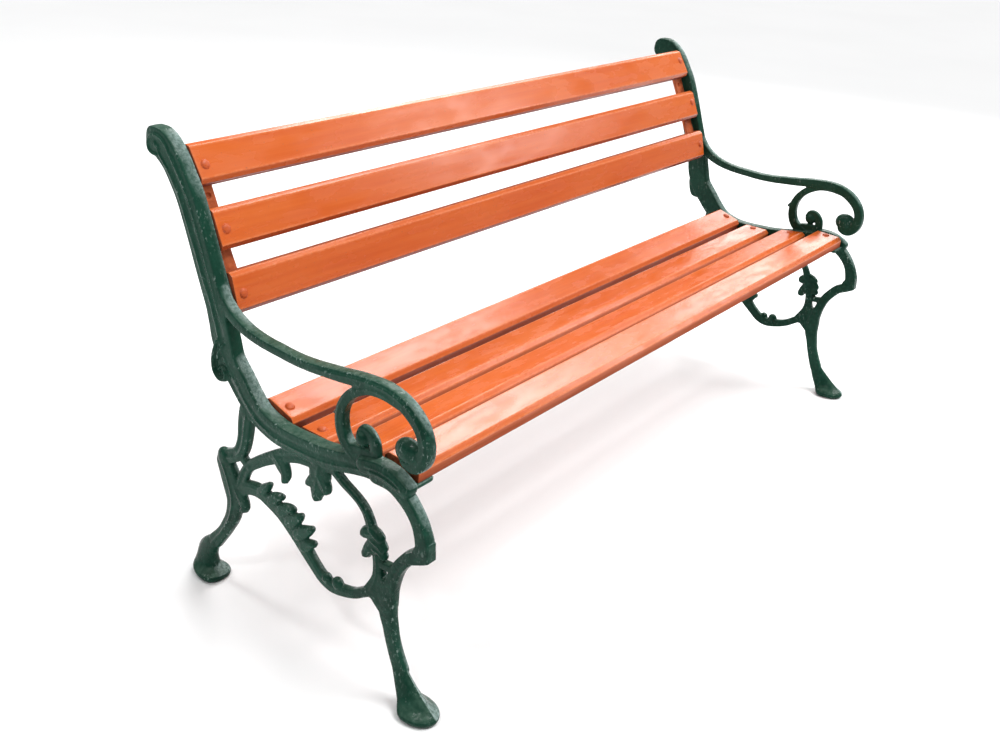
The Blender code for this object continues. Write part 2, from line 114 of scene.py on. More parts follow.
# Mouldings on a rib's outer face: (half width, height, ((place on the rib's length, place across), ...)).
# Lengths run from 0 to 1 and across from -1 to 1. A negative height is a groove.
POST_MOULD = (
    (1.7, 1.9, ((0.10, 0.50), (0.20, 0.38), (0.30, 0.33), (0.40, 0.30))),
    (1.7, 1.9, ((0.09, -0.58), (0.22, -0.5), (0.40, -0.25), (0.48, -0.1), (0.57, -0.08), (0.61, -0.15),
                (0.70, -0.35), (0.83, -0.45), (0.95, -0.25))),
    (5.0, -1.8, ((0.12, -0.05), (0.40, 0.02), (0.46, 0.2))),
    (3.5, -1.2, ((0.50, -0.5), (0.60, -0.6), (0.66, -0.72))),
    (3.0, -1.0, ((0.64, 0.15), (0.90, 0.1))),
)
RING_MOULD = (
    (1.4, 1.3, ((0.42, 0.1), (0.5, 0.4), (0.75, 0.42), (0.9, 0.2))),
    (1.8, -1.5, ((0.46, 0.75), (0.75, 0.8), (0.88, 0.7))),
)
REAR_RING_MOULD = ((1.3, 1.2, ((0.1, -0.1), (0.6, -0.3), (0.95, -0.4))),)
LOBE_MOULD = (
    (1.5, 1.5, ((0.15, -0.45), (0.6, -0.4), (0.9, -0.1))),
    (1.5, 1.3, ((0.1, 0.1), (0.6, 0.2), (0.9, 0.1))),
    (2.0, -1.5, ((0.1, -0.15), (0.8, -0.1))),
)
CENTRE_RIDGE = ((2.2, 2.2, ((0.0, 0.0), (1.0, 0.0))),)
LEAF_VEIN = ((1.3, 1.2, ((0.0, 0.0), (1.0, 0.0))),)
STEM_MOULD = ((1.5, 1.6, ((0.05, 0.35), (0.5, 0.2), (0.95, -0.1))),)
ARCH_MOULD = (
    (1.5, 1.5, ((0.05, 0.35), (0.5, 0.45), (0.9, 0.35))),
    (2.6, -1.3, ((0.08, -0.2), (0.5, -0.1), (0.9, -0.1))),
)
POST_FOOT_MOULD = (
    (1.6, 1.6, ((0.05, 0.3), (0.5, 0.25), (0.9, 0.1))),
    (2.8, -1.8, ((0.1, -0.2), (0.6, -0.3), (0.9, -0.4))),
)
LOOP_MOULD = ((1.5, 1.0, ((0.05, -0.2), (0.5, -0.3), (0.95, -0.35))),)
KNEE_MOULD = ((2.0, -1.2, ((0.1, 0.1), (0.9, 0.1))),)

# Ribs: (outer face, inner face), corner radius, crown of the sides, dome of the outer face,
# mouldings, and (forward, up, width) points
RIBS = (
    ((0.0, 24.0), 1.9, 0.6, 0.6, POST_MOULD, (
        (27, 762, 46), (45, 758, 50), (66, 741, 48), (84, 716, 46), (100, 690, 46), (113, 660, 46),
        (126, 627, 46), (139, 592, 46), (152, 558, 46), (163, 530, 46), (170, 503, 46),
        (177, 474, 48), (189, 444, 44), (213, 416, 44), (236, 391, 42), (262, 371, 39),
        (300, 360, 37), (335, 359, 35), (370, 361, 35), (405, 364, 35), (440, 371, 34),
        (475, 380, 32), (505, 385, 30), (538, 382, 25))),
    ((0.7, 20.0), 1.4, 0.8, 0.8, RING_MOULD, (
        (148, 592, 16), (164, 562, 20), (181, 539, 20), (204, 522, 18), (234, 510, 16),
        (268, 504, 15), (305, 502, 15), (345, 501, 15), (380, 503, 16), (412, 507, 17), (442, 511, 18),
        (472, 516, 19), (502, 519, 20), (530, 520, 20), (556, 515, 20), (578, 504, 20),
        (596, 487, 19), (605, 466, 19), (604, 447, 22), (596, 434, 26), (585, 428, 28), (576, 432, 30))),
    ((0.8, 17.0), 1.2, 0.4, 0.8, REAR_RING_MOULD, (
        (560, 509, 12), (530, 514, 14), (502, 512, 15), (481, 503, 15), (464, 491, 15),
        (451, 475, 15.5), (443, 455, 16.5), (443, 432, 17.5), (450, 413, 18), (465, 399, 20),
        (492, 386, 24))),
    ((1.6, 13.5), 2.2, 0.8, 1.2, (), (
        (506, 386, 32), (511, 401, 22), (513, 417, 18), (510, 431, 17), (501, 441, 16),
        (490, 442, 17), (485, 434, 17))),
    ((1.2, 15.0), 1.8, 0.6, 0.8, (), (
        (464, 402, 16), (480, 402, 24), (496, 403, 25), (511, 406, 20))),
    ((1.4, 13.0), 1.4, 0.6, 0.6, (), (
        (202, 286, 14), (220, 275, 14), (234, 268, 12))),
    ((1.2, 14.0), 1.4, 0.5, 0.6, (), (
        (524, 236, 11), (540, 234, 12), (556, 237, 11))),
    ((-7.0, 16.0), 1.9, 0.5, 2.0, LOBE_MOULD, (
        (496, 391, 24), (527, 397, 25), (552, 395, 25), (570, 389, 23), (580, 385, 20))),
    ((-5.0, 14.5), 1.4, 0.6, 0.6, (), (
        (520, 384, 24), (552, 384, 24), (576, 372, 22), (593, 357, 20), (605, 341, 20),
        (612, 325, 22), (616, 310, 24), (616, 299, 25))),
    ((1.0, 16.8), 1.6, 0.7, 0.8, KNEE_MOULD, (
        (611, 289, 16), (592, 277, 20), (577, 260, 20), (566, 243, 20), (558, 221, 20),
        (552, 196, 22), (548, 170, 28))),
    ((0.2, 15.2), 2.2, 0.8, 1.6, (), (
        (548, 176, 30), (548, 152, 30), (554, 128, 25), (560, 105, 23), (568, 84, 24),
        (578, 62, 26))),
    ((1.5, 13.0), 1.2, 0.6, 1.0, STEM_MOULD, (
        (425, 352, 14), (450, 337, 13), (468, 329, 12), (484, 321, 12), (497, 310, 13),
        (505, 297, 14), (511, 282, 16), (517, 266, 18), (523, 248, 17), (526, 228, 17),
        (526, 207, 19), (520, 187, 22), (512, 171, 20))),
    ((1.1, 13.6), 1.6, 0.7, 1.2, LOOP_MOULD, (
        (528, 184, 20), (515, 175, 18), (501, 165, 16), (479, 150, 16), (455, 141, 18),
        (428, 136, 20), (406, 142, 21), (387, 156, 21), (370, 171, 24), (352, 187, 26),
        (331, 203, 26), (309, 216, 25), (285, 225, 25), (262, 231, 24), (240, 229, 23),
        (220, 221, 24), (203, 205, 26))),
    ((-0.3, 14.4), 2.2, 0.8, 1.8, CENTRE_RIDGE, (
        (170, 250, 36), (181, 228, 42), (189, 206, 42), (193, 184, 36), (189, 162, 30),
        (182, 143, 27), (173, 127, 25), (162, 109, 24), (150, 93, 25), (136, 76, 28))),
    ((0.6, 15.6), 1.9, 0.7, 1.0, POST_FOOT_MOULD, (
        (230, 368, 30), (225, 340, 29), (222, 318, 26), (216, 297, 25), (206, 281, 24),
        (190, 270, 24), (173, 262, 24))),
    ((1.7, 12.5), 1.4, 0.6, 0.8, ARCH_MOULD, (
        (203, 200, 22), (213, 230, 20), (222, 252, 18), (234, 269, 18), (251, 283, 19),
        (272, 298, 20), (294, 312, 22), (320, 327, 24), (350, 340, 26), (390, 346, 24),
        (425, 350, 16))),
)

# Leaves, buds and thorns: (outer face, inner face), dome, and points that taper to the tip
LEAVES = (
    # the fluted curl at the back of the post, where it bends into the seat
    ((1.8, 15.0), 1.0, ((172, 474, 20), (167, 452, 28), (169, 432, 27), (174, 420, 28))),
    ((-4.6, 9.0), 0.6, ((170, 474, 7), (161, 452, 8), (158, 434, 8), (161, 418, 9), (172, 408, 9),
                       (185, 411, 8), (189, 423, 7), (181, 431, 6), (174, 426, 5))),
    ((-3.6, 9.0), 0.6, ((184, 470, 5), (174, 456, 7), (171, 444, 6))),
    # small leaf inside the rear arch
    ((-0.3, 12.0), 2.0, ((205, 206, 24), (214, 195, 25), (219, 184, 19), (215, 177, 14))),
    # hanging leaf of the arch, near the rear
    ((0.9, 12.0), 1.5, ((304, 315, 28), (314, 306, 30), (321, 293, 22), (319, 282, 14))),
    # the three-lobed leaf under the rail
    ((0.6, 12.8), 2.0, ((399, 332, 44), (397, 321, 42), (395, 307, 31), (393, 295, 27), (392, 287, 20))),
    ((0.0, 12.0), 1.5, ((391, 317, 25), (382, 309, 21), (377, 305, 16))),
    ((-0.2, 12.2), 1.5, ((405, 321, 26), (412, 313, 22), (414, 308, 18))),
    # teeth along the upper side of the diagonal
    ((-0.8, 12.0), 1.5, ((264, 236, 18), (271, 243, 18), (279, 251, 14), (283, 256, 10))),
    ((-1.2, 12.0), 1.5, ((289, 231, 20), (297, 238, 20), (306, 244, 15), (312, 246, 11))),
    ((-1.4, 12.0), 1.5, ((312, 222, 22), (322, 229, 21), (332, 234, 16), (338, 235, 12))),
    ((-1.6, 12.0), 1.5, ((333, 211, 22), (343, 219, 22), (353, 227, 16), (357, 232, 11))),
    ((-1.4, 12.0), 1.5, ((352, 196, 22), (364, 206, 23), (375, 214, 17), (381, 219, 12))),
    ((-1.2, 12.0), 1.5, ((366, 180, 20), (375, 187, 20), (382, 192, 15), (386, 194, 12))),
    # leaves on the stem
    ((-0.8, 12.4), 2.0, ((514, 279, 20), (504, 276, 21), (499, 273, 19))),
    ((-1.0, 12.0), 2.0, ((516, 264, 20), (508, 250, 21), (502, 239, 17))),
    ((-1.6, 11.6), 2.5, ((516, 284, 18), (524, 280, 20), (529, 278, 17))),
    ((-1.8, 12.2), 2.5, ((520, 269, 18), (530, 267, 20), (535, 263, 17))),
    ((-1.2, 11.8), 2.0, ((523, 256, 16), (532, 255, 16), (538, 250, 13))),
    # thorn on the back of the ring
    ((4.5, 12.0), 0.6, ((440, 453, 18), (434, 450, 13), (430, 448, 8))),
)

# Flat plates with an outline, where ribs meet in a corner: (outer face, inner face), (forward, up) points
SLABS = (
    ((-4.0, 15.0), ((602, 303), (628.5, 316), (630.5, 287), (622, 281.5), (603, 271.5), (590, 267),
                    (575, 262), (586, 283), (598, 292))),
    ((0.8, 14.8), ((500, 176), (519, 208), (533, 226), (538, 211), (544, 211), (549, 228), (562, 226),
                   (562, 165), (548, 142), (534, 148))),
)

# Beads that stand on the outer face: (outer face, inner face), and (forward, up, width) points
BEADS = (
    ((-2.4, 6.0), ((104, 700, 4), (92, 720, 5), (80, 736, 5), (69, 750, 5), (60, 763, 5), (48, 771, 5),
                   (34, 773, 5), (22, 768, 5), (15, 758, 5), (17, 747, 4.5), (26, 742, 4), (36, 743, 4))),
    ((-2.0, 6.0), ((62, 726, 3.5), (50, 738, 4.5), (42, 747, 4.5), (41, 757, 4))),
)

# Rounded bosses: middle along the bench, (forward, up), and (half depth, half length, half height)
BOSSES = (
    (7.0, (490, 430), (12.5, 13.5, 13.5)),
    (9.0, (575, 443), (14.0, 24.0, 20.5)),
    (5.5, (442, 149), (8.0, 11.0, 11.5)),
    (5.0, (418, 147), (7.5, 9.5, 10.0)),
    (4.0, (34, 759), (7.0, 6.5, 6.5)),
    (7.0, (170, 259), (10.0, 17.0, 18.0)),
)

# Feet: up, middle and half length forward, middle and half width along the bench
FRONT_FOOT = (
    (0.0, 623.0, 26.0, 5.0, 23.0), (2.0, 623.5, 30.0, 5.0, 27.0), (6.0, 623.5, 32.0, 5.0, 29.5),
    (11, 622.5, 32.5, 5.0, 29.0), (15, 619.0, 32.0, 5.0, 25.0), (20, 613.0, 30.0, 5.0, 19.0),
    (28, 605.0, 27.5, 5.2, 14.5), (38, 596.0, 23.5, 5.8, 11.5), (50, 587.0, 19.0, 6.4, 9.6),
    (62, 578.5, 15.0, 7.2, 8.2), (76, 571.5, 12.5, 7.7, 7.4))
REAR_FOOT = (
    (0.0, 121.0, 29.0, 5.0, 22.0), (2.0, 121.0, 33.0, 4.5, 26.0), (7.0, 120.0, 35.0, 4.0, 28.0),
    (12, 118.5, 35.0, 3.4, 26.5), (16, 114.0, 31.0, 4.0, 21.5), (21, 110.5, 26.5, 5.0, 17.0),
    (31, 110.0, 24.0, 6.0, 13.5), (43, 112.0, 22.5, 6.4, 11.0), (56, 117.5, 21.5, 6.6, 9.2),
    (69, 126.0, 20.0, 6.8, 8.2), (84, 140.0, 15.0, 7.0, 7.2))

# Colours of the paints
ENAMEL_DARK, ENAMEL_LIGHT = (0.005, 0.033, 0.020), (0.012, 0.060, 0.038)
ENAMEL_MOTTLE = (0.022, 0.088, 0.058)
# painted highlight on edges, partly worn-thin enamel
ENAMEL_WORN_HIGHLIT = (0.050, 0.130, 0.098)
# painted shade in hollows
ENAMEL_HOLLOW_SHADE = (0.002, 0.014, 0.009)
# painted skylight on upward faces
ENAMEL_SKYLIT = (0.070, 0.125, 0.092)
# painted highlight on faces that turn one way
ENAMEL_PAINTED_HIGHLIGHT = (0.28, 0.37, 0.35)
# pale flecks painted as glints of light
ENAMEL_GLINT = (0.46, 0.58, 0.53)
STRAY_DARK, STRAY_LIGHT = (0.34, 0.075, 0.028), (0.58, 0.15, 0.055)
SLAT_DARK, SLAT_LIGHT = (0.58, 0.094, 0.008), (0.64, 0.125, 0.016)
SLAT_PATCH = (0.66, 0.150, 0.026)
SLAT_THIN = (0.76, 0.24, 0.09)
# painted shade on a slat's downward faces
SLAT_UNDERSIDE_SHADE = (0.22, 0.026, 0.005)
# painted shade in the gaps between slats and on their ends
SLAT_GAP_SHADE = (0.16, 0.022, 0.006)
SLAT_SPECK = (0.40, 0.10, 0.035)
BOLT_DARK, BOLT_LIGHT = (0.46, 0.070, 0.010), (0.58, 0.105, 0.020)
BOLT_RUBBED = (0.66, 0.18, 0.06)
ZINC_DARK, ZINC_LIGHT = (0.30, 0.31, 0.32), (0.56, 0.55, 0.52)
FLOOR_DARK, FLOOR_LIGHT = (0.93, 0.93, 0.93), (0.95, 0.95, 0.95)

HIGHLIGHT_WAY = (0.35, -0.62, 0.70)       # painted highlight: enamel that faces this way is lightened
STRAY_REACH = (0.7366, 0.7376)      # slat paint strayed onto the iron that is nearer the middle, metres
STRAY_FLOOR = (0.41, 0.42)          # and higher than this, metres

# Lights: name, place, what it points at, size, and power
AREA_LIGHTS = (
    ("near_glare", (1.7, 1.35, 2.75), (-0.5, 0.0, 0.4), (1.4, 1.8), 62.0),
    ("far_glare", (3.9, 0.8, 1.8), (0.4, 0.0, 0.4), (1.7, 1.2), 28.0),
    ("back_glare", (2.1, -1.4, 1.85), (-0.1, 0.2, 0.7), (0.8, 1.2), 15.0),
    ("iron_glare", (-1.0, 1.8, 2.6), (-0.76, 0.0, 0.5), (0.4, 0.4), 16.0),
    ("iron_front", (-2.2, -0.4, 2.6), (-0.76, 0.0, 0.4), (0.22, 0.22), 13.0),
)
SUN_WAY = (0.28, -0.40, 1.0)        # the way to the broad light
SUN_STRENGTH = 2.2
SUN_WIDTH = 30                      # degrees
SKY_LOW, SKY_HIGH = (0.66, 0.68, 0.70), (1.0, 1.0, 1.0)
SKY_STRENGTH = 0.42
FLOOR_HALF_SIDE = 60.0

# The camera: yaw from +X towards +Y, pitch below level and roll, all in radians
CAMERA_PLACE = (-1.720333, -1.112574, 1.222710)
CAMERA_YAW = 0.664500
CAMERA_PITCH = 0.427281
CAMERA_ROLL = 0.071831
CAMERA_LENS = 39.262
CAMERA_SHIFT = (0.019326, -0.043896)


# ---------------------------------------------------------------- shapes

def spline(points, spacing):
    """A smooth path through the points, with stations about spacing apart. It also gives each
    station's place on the path, counted in points and scaled to run from 0 to 1."""
    points = np.array(points, float)
    ends = np.vstack([points[0], points, points[-1]])
    rows, places = [], []
    for k in range(len(points) - 1):
        a, b, c, d = ends[k:k + 4]
        count = max(1, int(round(np.linalg.norm(c[:2] - b[:2]) / spacing)))
        for step in range(count):
            t = step / count
            rows.append(
                b + 0.5 * t * (c - a) + t * t * (a - 2.5 * b + 2 * c - 0.5 * d)
                + t ** 3 * (1.5 * (b - c) + 0.5 * (d - a)))
            places.append((k + t) / (len(points) - 1))
    rows.append(points[-1])
    places.append(1.0)
    return np.array(rows), np.array(places)


def relief(place, across, half, mouldings):
    """How far the outer face stands out at each place across a rib."""
    total = np.zeros_like(across)
    for sigma, height, course in mouldings:
        along = [c[0] for c in course]
        middle = np.interp(place, along, [c[1] for c in course])
        past_ends = max(along[0] - place, place - along[-1])
        fade = max(0.0, min(1.0, 1 - past_ends / RELIEF_FADE))
        total += height * fade * np.exp(-(((across - middle) * half) / sigma) ** 2)
    return total


def rib(points, faces, corner, crown, dome, mouldings=(), spacing=3.0, across_steps=24):
    """A moulded rib with round ends, as vertices (along the bench, forward, up) and faces."""
    path, places = spline(points, spacing)
    heading = np.gradient(path[:, :2], axis=0)
    heading /= np.linalg.norm(heading, axis=1)[:, None]

    def cap(end, way, angles):
        """Stations on the round end, where way is 1 at the rib's end and -1 at its start."""
        rows = []
        for a in map(math.radians, angles):
            width = path[end, 2]
            centre = path[end, :2] + way * heading[end] * (width / 2 * math.sin(a))
            rows.append((centre, heading[end], width * math.cos(a), places[end], a))
        return rows

    stations = cap(0, -1, CAP_ANGLES)
    stations += [(row[:2], way, row[2], place, 0.0) for row, way, place in zip(path, heading, places)]
    stations += cap(-1, 1, CAP_ANGLES[::-1])

    outer, inner = faces
    middle, half_depth = (outer + inner) / 2, (inner - outer) / 2
    t = np.sin(np.linspace(-math.pi / 2, math.pi / 2, across_steps + 1))
    rings = []
    for centre, way, width, place, turned in stations:
        normal = np.array([-way[1], way[0]])
        half = width / 2 + SWELL
        depth = half_depth * (CAP_DEPTH + (1 - CAP_DEPTH) * math.cos(turned) ** 0.6)
        radius = min(corner, half * 0.9, depth * 0.9)
        bulge = min(crown, half * 0.4)
        flat = half - bulge
        a = t * flat
        over = np.maximum(np.abs(a) - (flat - radius), 0.0)
        edge = radius - np.sqrt(np.maximum(radius ** 2 - over ** 2, 0.0))
        front = middle - depth + edge + dome * t ** 2 - dome * 0.3
        front -= relief(place, t, half, mouldings) * math.cos(turned)
        back = (middle + depth - edge)[::-1]
        side = np.linspace(0, 1, 6)[1:-1]
        lift = bulge * (1 - (2 * side - 1) ** 2)
        right_x = front[-1] + (back[0] - front[-1]) * side
        left_x = back[-1] + (front[0] - back[-1]) * side
        offset = np.concatenate([a, flat + lift, a[::-1], -flat - lift])
        x = np.concatenate([front, right_x, back, left_x])
        place_2d = centre + offset[:, None] * normal
        rings.append(np.column_stack([x, place_2d]))
    return loft(rings)


def loft(rings):
    """Vertices and faces of a closed solid through rings of equal length."""
    size = len(rings[0])
    verts = np.vstack(rings)
    faces = []
    for r in range(len(rings) - 1):
        low, high = r * size, (r + 1) * size
        for k in range(size):
            n = (k + 1) % size
            faces.append((low + k, low + n, high + n, high + k))
    faces.append(tuple(range(size))[::-1])
    last = (len(rings) - 1) * size
    faces.append(tuple(range(last, last + size)))
    return verts, faces


def boss(x, centre, halves, sides=28):
    """An ellipsoid, as vertices (along the bench, forward, up) and faces."""
    turn = np.linspace(0, 2 * math.pi, sides, endpoint=False)
    rings = []
    for phi in np.linspace(-86, 86, 15):
        a = math.radians(phi)
        rings.append(np.column_stack([
            np.full(sides, x + halves[0] * math.sin(a)),
            centre[0] + halves[1] * math.cos(a) * np.cos(turn),
            centre[1] + halves[2] * math.cos(a) * np.sin(turn)]))
    return loft(rings)


def foot(sections, toe, sides=48):
    """A club foot with a ridge down to its toe. toe is 1 if it points forward and -1 if back."""
    rows, _ = spline([(s[0], 0.0, *s[1:]) for s in sections], 3.0)
    turn = np.linspace(0, 2 * math.pi, sides, endpoint=False)
    c, s = np.cos(turn), np.sin(turn)
    narrow = 1.0 - FOOT_TAPER * toe * s
    toe_turn = math.pi / 2 * (1 if toe > 0 else 3)
    crest = RIDGE_HEIGHT * np.exp(-((turn - toe_turn) / RIDGE_WIDTH) ** 2)
    rings = []
    for up, _, middle, half_length, centre, half_width in rows:
        across = np.sign(c) * np.abs(c) ** FOOT_SQUARENESS * half_width * narrow
        along = np.sign(s) * np.abs(s) ** FOOT_SQUARENESS * half_length
        fade = max(0.0, min(1.0, (RIDGE_TOP - up) / RIDGE_DECAY))
        ridge = crest * min(1.0, up / RIDGE_GROWTH) * fade
        rings.append(np.column_stack([
            centre + across, middle + along + ridge * toe, np.full(sides, up)]))
    return loft(rings)


def lug_course(slats):
    """The middle line of the strip that carries a set of slats, as (forward, up, width)."""
    course = []
    for _, forward, up, slope, *_ in slats:
        angle = math.radians(slope)
        along = np.array([math.cos(angle), math.sin(angle)])
        out = np.array([-along[1], along[0]])
        for side in (-SLAT_WIDTH / 2, SLAT_WIDTH / 2):
            below = SLAT_THICKNESS + LUG_GAP + LUG_THICKNESS / 2
            place = np.array([forward, up]) + along * side - out * below
            course.append((*place, LUG_THICKNESS))
    return course


def lug(slats):
    """The strip that carries a set of slats: straight from point to point, with rounded edges."""
    course = lug_course(slats)
    dense = []
    for a, b in zip(course, course[1:]):
        for t in (0.0, 0.12, 0.5, 0.88):
            dense.append(tuple(a[k] + (b[k] - a[k]) * t for k in range(3)))
    dense.append(course[-1])
    return rib(
        dense, (LUG_START, LUG_REACH), corner=1.5, crown=0.2, dome=0.0, spacing=4.0, across_steps=6)


def slab(faces, outline):
    """A flat plate with eased edges, as vertices (along the bench, forward, up) and faces."""
    outline = np.array(outline, float)
    middle = outline.mean(axis=0)
    reach = np.linalg.norm(outline - middle, axis=1)[:, None]
    outer, inner = faces
    courses = [(outer + depth, pull) for depth, pull in SLAB_EDGE]
    courses += [(inner - depth, pull) for depth, pull in SLAB_EDGE[::-1]]
    rings = []
    for x, pull in courses:
        ring = middle + (outline - middle) * (1 - pull / reach)
        rings.append(np.column_stack([np.full(len(ring), x), ring]))
    return loft(rings)


def gather(shapes):
    """One mesh from many, with (along the bench, forward, up) turned into the left casting's place."""
    verts, faces, start = [], [], 0
    for v, f in shapes:
        verts.append(v)
        faces.extend(tuple(start + k for k in face) for face in f)
        start += len(v)
    verts = np.vstack(verts)
    placed = np.column_stack([
        -HALF_SPAN + verts[:, 0], FORWARD_MIDDLE - verts[:, 1], verts[:, 2]]) * MM
    return placed, faces


def mesh_from(name, verts, faces):
    """A mesh with all its faces turned outwards."""
    mesh = bpy.data.meshes.new(name)
    mesh.from_pydata([tuple(v) for v in verts], [], faces)
    mesh.update()
    bm = bmesh.new()
    bm.from_mesh(mesh)
    bmesh.ops.recalc_face_normals(bm, faces=bm.faces)
    bm.to_mesh(mesh)
    bm.free()
    return mesh


def show(name, mesh):
    """An object in the scene, with its mesh."""
    obj = bpy.data.objects.new(name, mesh)
    bpy.context.scene.collection.objects.link(obj)
    return obj


def baked(obj):
    """Applies the object's modifiers."""
    bpy.context.view_layer.update()
    graph = bpy.context.evaluated_depsgraph_get()
    mesh = bpy.data.meshes.new_from_object(obj.evaluated_get(graph))
    obj.modifiers.clear()
    old = obj.data
    obj.data = mesh
    bpy.data.meshes.remove(old)


def drill(obj, radius, start, end):
    """Cuts a round hole into the object, between two points in metres."""
    start, end = Vector(start), Vector(end)
    axis = end - start
    bm = bmesh.new()
    bmesh.ops.create_cone(
        bm, cap_ends=True, segments=32, radius1=radius, radius2=radius, depth=axis.length)
    turn = Vector((0.0, 0.0, 1.0)).rotation_difference(axis).to_matrix().to_4x4()
    bmesh.ops.transform(bm, matrix=Matrix.Translation((start + end) / 2) @ turn, verts=bm.verts)
    mesh = bpy.data.meshes.new("drill")
    bm.to_mesh(mesh)
    bm.free()
    cutter = show("drill", mesh)
    cut = obj.modifiers.new("hole", "BOOLEAN")
    cut.operation = "DIFFERENCE"
    cut.solver = "EXACT"
    cut.object = cutter
    baked(obj)
    bpy.data.objects.remove(cutter, do_unlink=True)


def casting_mesh():
    """The left casting: every rib, leaf, boss, foot and lug, fused and softened like a casting."""
    shapes = [rib(points, faces, corner, crown, dome, mouldings)
              for faces, corner, crown, dome, mouldings, points in RIBS]
    shapes += [rib(points, faces, 3.0, 1.5, dome, LEAF_VEIN, spacing=2.0, across_steps=14)
               for faces, dome, points in LEAVES]
    shapes += [rib(points, faces, 1.8, 0.5, 0.8, spacing=2.0, across_steps=8) for faces, points in BEADS]
    shapes += [boss(*row) for row in BOSSES]
    shapes += [slab(*row) for row in SLABS]
    shapes += [foot(FRONT_FOOT, 1), foot(REAR_FOOT, -1)]
    obj = show("casting", mesh_from("casting", *gather(shapes)))

    strips = show("strips", mesh_from("strips", *gather([lug(BACK_SLATS), lug(SEAT_SLATS)])))
    slope = math.radians(BACK_SLATS[0][3])
    outward = (0.0, -math.sin(slope), math.cos(slope))
    hole, _ = gather([(np.array(SPARE_HOLE) + np.outer(SPARE_CUT, outward), ())])
    drill(strips, SPARE_RADIUS * MM, *hole)

    both = [obj, strips]
    with bpy.context.temp_override(active_object=obj, object=obj, selected_objects=both,
                                   selected_editable_objects=both):
        bpy.ops.object.join()
    fuse = obj.modifiers.new("fuse", "REMESH")
    fuse.mode = "VOXEL"
    fuse.voxel_size = VOXEL * MM
    soften = obj.modifiers.new("soften", "SMOOTH")
    soften.factor = 0.5
    soften.iterations = SOFTENING
    baked(obj)
    count = sum(len(p.vertices) - 2 for p in obj.data.polygons)
    thin = obj.modifiers.new("thin", "DECIMATE")
    thin.ratio = min(1.0, MOST_FACES / count)
    baked(obj)
    obj.data.shade_smooth()
    return obj


# ---------------------------------------------------------------- materials

def nodes_of(name):
    """A new material, its node tree and its shader."""
    made = bpy.data.materials.new(name)
    made.use_nodes = True
    tree = made.node_tree
    shader = tree.nodes["Principled BSDF"]
    return made, tree, shader


def add(tree, kind, links=(), **properties):
    """Adds a node with these links into it and these properties."""
    node = tree.nodes.new(kind)
    for key, value in properties.items():
        setattr(node, key, value)
    for source, socket in links:
        tree.links.new(source, node.inputs[socket])
    return node


def place_of(tree, scale=(1.0, 1.0, 1.0)):
    """The place on the object, in metres, stretched by the scale."""
    coords = add(tree, "ShaderNodeTexCoord")
    mapped = add(tree, "ShaderNodeMapping", [(coords.outputs["Object"], "Vector")])
    mapped.inputs["Scale"].default_value = scale
    return mapped.outputs["Vector"]


def noise(tree, vector, scale, detail=2.0, rough=0.5):
    """Soft noise that runs from about 0.3 to 0.7."""
    made = add(tree, "ShaderNodeTexNoise", [(vector, "Vector")])
    made.inputs["Scale"].default_value = scale
    made.inputs["Detail"].default_value = detail
    made.inputs["Roughness"].default_value = rough
    return made.outputs["Fac"]


def spread(tree, value, low, high, to_low, to_high):
    """The value, spread from low and high onto to_low and to_high and clamped there."""
    made = add(tree, "ShaderNodeMapRange", [(value, "Value")])
    made.clamp = True
    for socket, number in zip(("From Min", "From Max", "To Min", "To Max"), (low, high, to_low, to_high)):
        made.inputs[socket].default_value = number
    return made.outputs["Result"]


def maths(tree, operation, a, b=0.0):
    """One arithmetic step on two numbers or sockets."""
    made = tree.nodes.new("ShaderNodeMath")
    made.operation = operation
    for socket, value in zip(made.inputs, (a, b)):
        if isinstance(value, (int, float)):
            socket.default_value = value
        else:
            tree.links.new(value, socket)
    return made.outputs[0]


def blend_colours(tree, factor, a, b):
    """From colour a to colour b, by the factor."""
    made = tree.nodes.new("ShaderNodeMix")
    made.data_type = "RGBA"
    tree.links.new(factor, made.inputs[0])
    for socket, value in zip((made.inputs[6], made.inputs[7]), (a, b)):
        if isinstance(value, tuple):
            socket.default_value = (*value, 1.0)
        else:
            tree.links.new(value, socket)
    return made.outputs[2]


def bumps(tree, layers):
    """A chain of bump nodes from (height, strength, distance)."""
    normal = None
    for height, strength, distance in layers:
        made = add(tree, "ShaderNodeBump", [(height, "Height")])
        made.inputs["Strength"].default_value = strength
        made.inputs["Distance"].default_value = distance
        if normal:
            tree.links.new(normal, made.inputs["Normal"])
        normal = made.outputs["Normal"]
    return normal


def facing(tree):
    """Which way the surface faces in the scene."""
    return add(tree, "ShaderNodeNewGeometry").outputs["Normal"]


